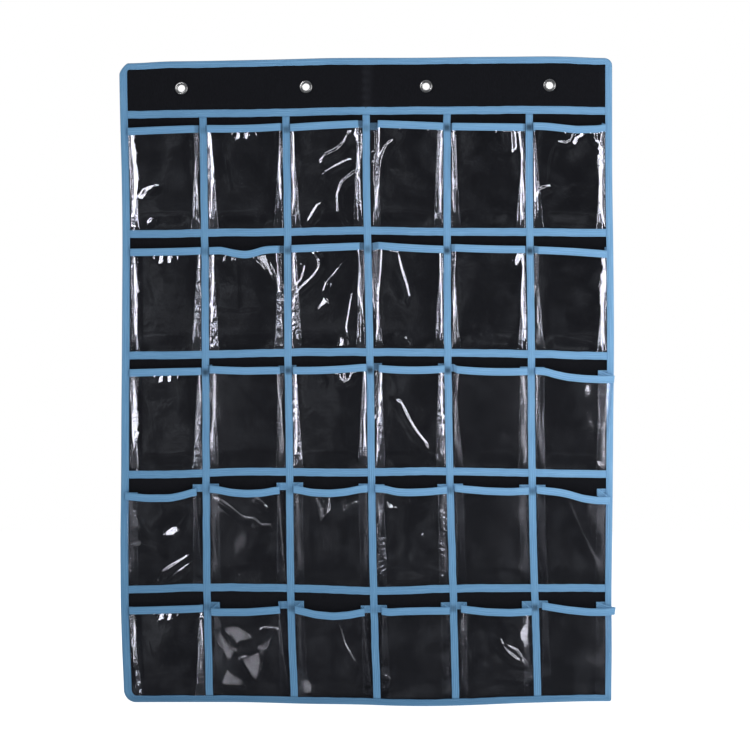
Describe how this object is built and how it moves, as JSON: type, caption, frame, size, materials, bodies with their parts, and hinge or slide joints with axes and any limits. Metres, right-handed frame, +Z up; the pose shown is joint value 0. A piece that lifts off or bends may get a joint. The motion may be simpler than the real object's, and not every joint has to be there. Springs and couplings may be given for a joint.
{
  "type": "hanging eyewear organizer",
  "caption": "Flat hanging organizer for glasses: a dark fabric panel with rows of clear pleated pockets, taped seams and metal grommets along its header.",
  "frame": {"origin": "bottom centre of the whole object's bounding box: x = 0 is the middle divider tape, z = 0 the lower edge, y = 0 half way through its depth", "axes": "+Z up along the hanging panel, the pocket fronts face -Y, +X is the viewer's right when facing the pockets"},
  "size_m": [0.635, 0.0112, 0.838],
  "materials": {
    "black_fabric": "matt non-woven fabric with a faint woven texture",
    "blue_tape": "ribbed woven binding tape, slight sheen",
    "clear_vinyl": "clear glossy soft vinyl film",
    "plated_metal": "bright nickel plate"
  },
  "bodies": {
    "backing": {"back_panel": "black_fabric", "header_panel": "black_fabric", "edge_binding": "blue_tape", "header_tape": "blue_tape", "seam_tape_1": "blue_tape", "seam_tape_2": "blue_tape", "seam_tape_3": "blue_tape", "seam_tape_4": "blue_tape", "divider_tape_1": "blue_tape", "divider_tape_2": "blue_tape", "divider_tape_3": "blue_tape", "divider_tape_4": "blue_tape", "divider_tape_5": "blue_tape", "grommet_1": "plated_metal", "grommet_washer_1": "plated_metal", "grommet_2": "plated_metal", "grommet_washer_2": "plated_metal", "grommet_3": "plated_metal", "grommet_washer_3": "plated_metal", "grommet_4": "plated_metal", "grommet_washer_4": "plated_metal"},
    "pocket_r1_c1": {"pocket_r1_c1": "clear_vinyl"},
    "pocket_r1_c2": {"pocket_r1_c2": "clear_vinyl"},
    "pocket_r1_c3": {"pocket_r1_c3": "clear_vinyl"},
    "pocket_r1_c4": {"pocket_r1_c4": "clear_vinyl"},
    "pocket_r1_c5": {"pocket_r1_c5": "clear_vinyl"},
    "pocket_r1_c6": {"pocket_r1_c6": "clear_vinyl"},
    "pocket_r2_c1": {"pocket_r2_c1": "clear_vinyl"},
    "pocket_r2_c2": {"pocket_r2_c2": "clear_vinyl"},
    "pocket_r2_c3": {"pocket_r2_c3": "clear_vinyl"},
    "pocket_r2_c4": {"pocket_r2_c4": "clear_vinyl"},
    "pocket_r2_c5": {"pocket_r2_c5": "clear_vinyl"},
    "pocket_r2_c6": {"pocket_r2_c6": "clear_vinyl"},
    "pocket_r3_c1": {"pocket_r3_c1": "clear_vinyl"},
    "pocket_r3_c2": {"pocket_r3_c2": "clear_vinyl"},
    "pocket_r3_c3": {"pocket_r3_c3": "clear_vinyl"},
    "pocket_r3_c4": {"pocket_r3_c4": "clear_vinyl"},
    "pocket_r3_c5": {"pocket_r3_c5": "clear_vinyl"},
    "pocket_r3_c6": {"pocket_r3_c6": "clear_vinyl"},
    "pocket_r4_c1": {"pocket_r4_c1": "clear_vinyl"},
    "pocket_r4_c2": {"pocket_r4_c2": "clear_vinyl"},
    "pocket_r4_c3": {"pocket_r4_c3": "clear_vinyl"},
    "pocket_r4_c4": {"pocket_r4_c4": "clear_vinyl"},
    "pocket_r4_c5": {"pocket_r4_c5": "clear_vinyl"},
    "pocket_r4_c6": {"pocket_r4_c6": "clear_vinyl"},
    "pocket_r5_c1": {"pocket_r5_c1": "clear_vinyl"},
    "pocket_r5_c2": {"pocket_r5_c2": "clear_vinyl"},
    "pocket_r5_c3": {"pocket_r5_c3": "clear_vinyl"},
    "pocket_r5_c4": {"pocket_r5_c4": "clear_vinyl"},
    "pocket_r5_c5": {"pocket_r5_c5": "clear_vinyl"},
    "pocket_r5_c6": {"pocket_r5_c6": "clear_vinyl"}
  },
  "joints": [
    {"name": "pocket_r1_c1_open", "type": "hinge", "parent": "backing", "child": "pocket_r1_c1", "pos_m": [-0.26258, 0.0021, 0.6172], "axis": [1, 0, 0], "range_deg": [0, 8], "stiffness_Nm_per_rad": 0.05},
    {"name": "pocket_r1_c2_open", "type": "hinge", "parent": "backing", "child": "pocket_r1_c2", "pos_m": [-0.15875, 0.0021, 0.6172], "axis": [1, 0, 0], "range_deg": [0, 8], "stiffness_Nm_per_rad": 0.05},
    {"name": "pocket_r1_c3_open", "type": "hinge", "parent": "backing", "child": "pocket_r1_c3", "pos_m": [-0.05292, 0.0021, 0.6172], "axis": [1, 0, 0], "range_deg": [0, 8], "stiffness_Nm_per_rad": 0.05},
    {"name": "pocket_r1_c4_open", "type": "hinge", "parent": "backing", "child": "pocket_r1_c4", "pos_m": [0.05292, 0.0021, 0.6172], "axis": [1, 0, 0], "range_deg": [0, 8], "stiffness_Nm_per_rad": 0.05},
    {"name": "pocket_r1_c5_open", "type": "hinge", "parent": "backing", "child": "pocket_r1_c5", "pos_m": [0.15875, 0.0021, 0.6172], "axis": [1, 0, 0], "range_deg": [0, 8], "stiffness_Nm_per_rad": 0.05},
    {"name": "pocket_r1_c6_open", "type": "hinge", "parent": "backing", "child": "pocket_r1_c6", "pos_m": [0.26258, 0.0021, 0.6172], "axis": [1, 0, 0], "range_deg": [0, 8], "stiffness_Nm_per_rad": 0.05},
    {"name": "pocket_r2_c1_open", "type": "hinge", "parent": "backing", "child": "pocket_r2_c1", "pos_m": [-0.26258, 0.0021, 0.4602], "axis": [1, 0, 0], "range_deg": [0, 8], "stiffness_Nm_per_rad": 0.05},
    {"name": "pocket_r2_c2_open", "type": "hinge", "parent": "backing", "child": "pocket_r2_c2", "pos_m": [-0.15875, 0.0021, 0.4602], "axis": [1, 0, 0], "range_deg": [0, 8], "stiffness_Nm_per_rad": 0.05},
    {"name": "pocket_r2_c3_open", "type": "hinge", "parent": "backing", "child": "pocket_r2_c3", "pos_m": [-0.05292, 0.0021, 0.4602], "axis": [1, 0, 0], "range_deg": [0, 8], "stiffness_Nm_per_rad": 0.05},
    {"name": "pocket_r2_c4_open", "type": "hinge", "parent": "backing", "child": "pocket_r2_c4", "pos_m": [0.05292, 0.0021, 0.4602], "axis": [1, 0, 0], "range_deg": [0, 8], "stiffness_Nm_per_rad": 0.05},
    {"name": "pocket_r2_c5_open", "type": "hinge", "parent": "backing", "child": "pocket_r2_c5", "pos_m": [0.15875, 0.0021, 0.4602], "axis": [1, 0, 0], "range_deg": [0, 8], "stiffness_Nm_per_rad": 0.05},
    {"name": "pocket_r2_c6_open", "type": "hinge", "parent": "backing", "child": "pocket_r2_c6", "pos_m": [0.26258, 0.0021, 0.4602], "axis": [1, 0, 0], "range_deg": [0, 8], "stiffness_Nm_per_rad": 0.05},
    {"name": "pocket_r3_c1_open", "type": "hinge", "parent": "backing", "child": "pocket_r3_c1", "pos_m": [-0.26258, 0.0021, 0.3052], "axis": [1, 0, 0], "range_deg": [0, 8], "stiffness_Nm_per_rad": 0.05},
    {"name": "pocket_r3_c2_open", "type": "hinge", "parent": "backing", "child": "pocket_r3_c2", "pos_m": [-0.15875, 0.0021, 0.3052], "axis": [1, 0, 0], "range_deg": [0, 8], "stiffness_Nm_per_rad": 0.05},
    {"name": "pocket_r3_c3_open", "type": "hinge", "parent": "backing", "child": "pocket_r3_c3", "pos_m": [-0.05292, 0.0021, 0.3052], "axis": [1, 0, 0], "range_deg": [0, 8], "stiffness_Nm_per_rad": 0.05},
    {"name": "pocket_r3_c4_open", "type": "hinge", "parent": "backing", "child": "pocket_r3_c4", "pos_m": [0.05292, 0.0021, 0.3052], "axis": [1, 0, 0], "range_deg": [0, 8], "stiffness_Nm_per_rad": 0.05},
    {"name": "pocket_r3_c5_open", "type": "hinge", "parent": "backing", "child": "pocket_r3_c5", "pos_m": [0.15875, 0.0021, 0.3052], "axis": [1, 0, 0], "range_deg": [0, 8], "stiffness_Nm_per_rad": 0.05},
    {"name": "pocket_r3_c6_open", "type": "hinge", "parent": "backing", "child": "pocket_r3_c6", "pos_m": [0.26258, 0.0021, 0.3052], "axis": [1, 0, 0], "range_deg": [0, 8], "stiffness_Nm_per_rad": 0.05},
    {"name": "pocket_r4_c1_open", "type": "hinge", "parent": "backing", "child": "pocket_r4_c1", "pos_m": [-0.26258, 0.0021, 0.1547], "axis": [1, 0, 0], "range_deg": [0, 8], "stiffness_Nm_per_rad": 0.05},
    {"name": "pocket_r4_c2_open", "type": "hinge", "parent": "backing", "child": "pocket_r4_c2", "pos_m": [-0.15875, 0.0021, 0.1547], "axis": [1, 0, 0], "range_deg": [0, 8], "stiffness_Nm_per_rad": 0.05},
    {"name": "pocket_r4_c3_open", "type": "hinge", "parent": "backing", "child": "pocket_r4_c3", "pos_m": [-0.05292, 0.0021, 0.1547], "axis": [1, 0, 0], "range_deg": [0, 8], "stiffness_Nm_per_rad": 0.05},
    {"name": "pocket_r4_c4_open", "type": "hinge", "parent": "backing", "child": "pocket_r4_c4", "pos_m": [0.05292, 0.0021, 0.1547], "axis": [1, 0, 0], "range_deg": [0, 8], "stiffness_Nm_per_rad": 0.05},
    {"name": "pocket_r4_c5_open", "type": "hinge", "parent": "backing", "child": "pocket_r4_c5", "pos_m": [0.15875, 0.0021, 0.1547], "axis": [1, 0, 0], "range_deg": [0, 8], "stiffness_Nm_per_rad": 0.05},
    {"name": "pocket_r4_c6_open", "type": "hinge", "parent": "backing", "child": "pocket_r4_c6", "pos_m": [0.26258, 0.0021, 0.1547], "axis": [1, 0, 0], "range_deg": [0, 8], "stiffness_Nm_per_rad": 0.05},
    {"name": "pocket_r5_c1_open", "type": "hinge", "parent": "backing", "child": "pocket_r5_c1", "pos_m": [-0.26258, 0.0021, 0.0092], "axis": [1, 0, 0], "range_deg": [0, 8], "stiffness_Nm_per_rad": 0.05},
    {"name": "pocket_r5_c2_open", "type": "hinge", "parent": "backing", "child": "pocket_r5_c2", "pos_m": [-0.15875, 0.0021, 0.0092], "axis": [1, 0, 0], "range_deg": [0, 8], "stiffness_Nm_per_rad": 0.05},
    {"name": "pocket_r5_c3_open", "type": "hinge", "parent": "backing", "child": "pocket_r5_c3", "pos_m": [-0.05292, 0.0021, 0.0092], "axis": [1, 0, 0], "range_deg": [0, 8], "stiffness_Nm_per_rad": 0.05},
    {"name": "pocket_r5_c4_open", "type": "hinge", "parent": "backing", "child": "pocket_r5_c4", "pos_m": [0.05292, 0.0021, 0.0092], "axis": [1, 0, 0], "range_deg": [0, 8], "stiffness_Nm_per_rad": 0.05},
    {"name": "pocket_r5_c5_open", "type": "hinge", "parent": "backing", "child": "pocket_r5_c5", "pos_m": [0.15875, 0.0021, 0.0092], "axis": [1, 0, 0], "range_deg": [0, 8], "stiffness_Nm_per_rad": 0.05},
    {"name": "pocket_r5_c6_open", "type": "hinge", "parent": "backing", "child": "pocket_r5_c6", "pos_m": [0.26258, 0.0021, 0.0092], "axis": [1, 0, 0], "range_deg": [0, 8], "stiffness_Nm_per_rad": 0.05}
  ]
}
